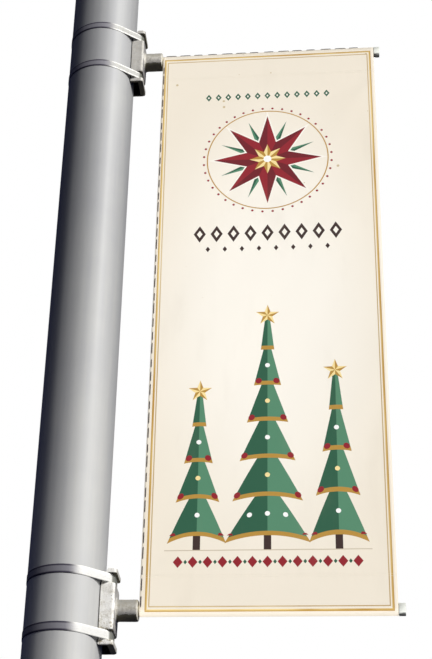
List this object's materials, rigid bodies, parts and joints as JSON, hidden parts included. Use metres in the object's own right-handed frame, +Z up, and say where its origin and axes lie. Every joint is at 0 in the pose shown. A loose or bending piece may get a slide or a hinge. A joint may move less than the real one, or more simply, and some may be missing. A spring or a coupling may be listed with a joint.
{
  "type": "pole banner with rods, saddle brackets and pole length",
  "caption": "Tall cloth banner stretched by rods in its top and bottom pockets, held off a round pole by banded cast brackets.",
  "frame": {"origin": "on the pole's axis at the lower cut end of the pole length", "axes": "+Z up along the pole, +X along the rods to their free ends, the banner's front faces -Y"},
  "size_m": [0.9065, 0.1934, 2.26],
  "materials": {
    "pole_paint": "satin grey paint, lightly weathered",
    "cast_metal": "raw sand casting, mottled and grained",
    "band_steel": "bright rolled stainless strip",
    "rod_resin": "pulled glass-fibre rod, off-white",
    "cap_plastic": "soft white push-on cap",
    "banner_cloth": "cream coated banner cloth, printed, matt"
  },
  "bodies": {
    "root": {"pole": "pole_paint", "bracket_upper": "cast_metal", "bracket_lower": "cast_metal", "band_upper_top": "band_steel", "band_upper_low": "band_steel", "band_lower_top": "band_steel", "band_lower_low": "band_steel", "rod_upper": "rod_resin", "rod_lower": "rod_resin", "cap_upper": "cap_plastic", "cap_lower": "cap_plastic", "banner": "banner_cloth"}
  },
  "joints": []
}
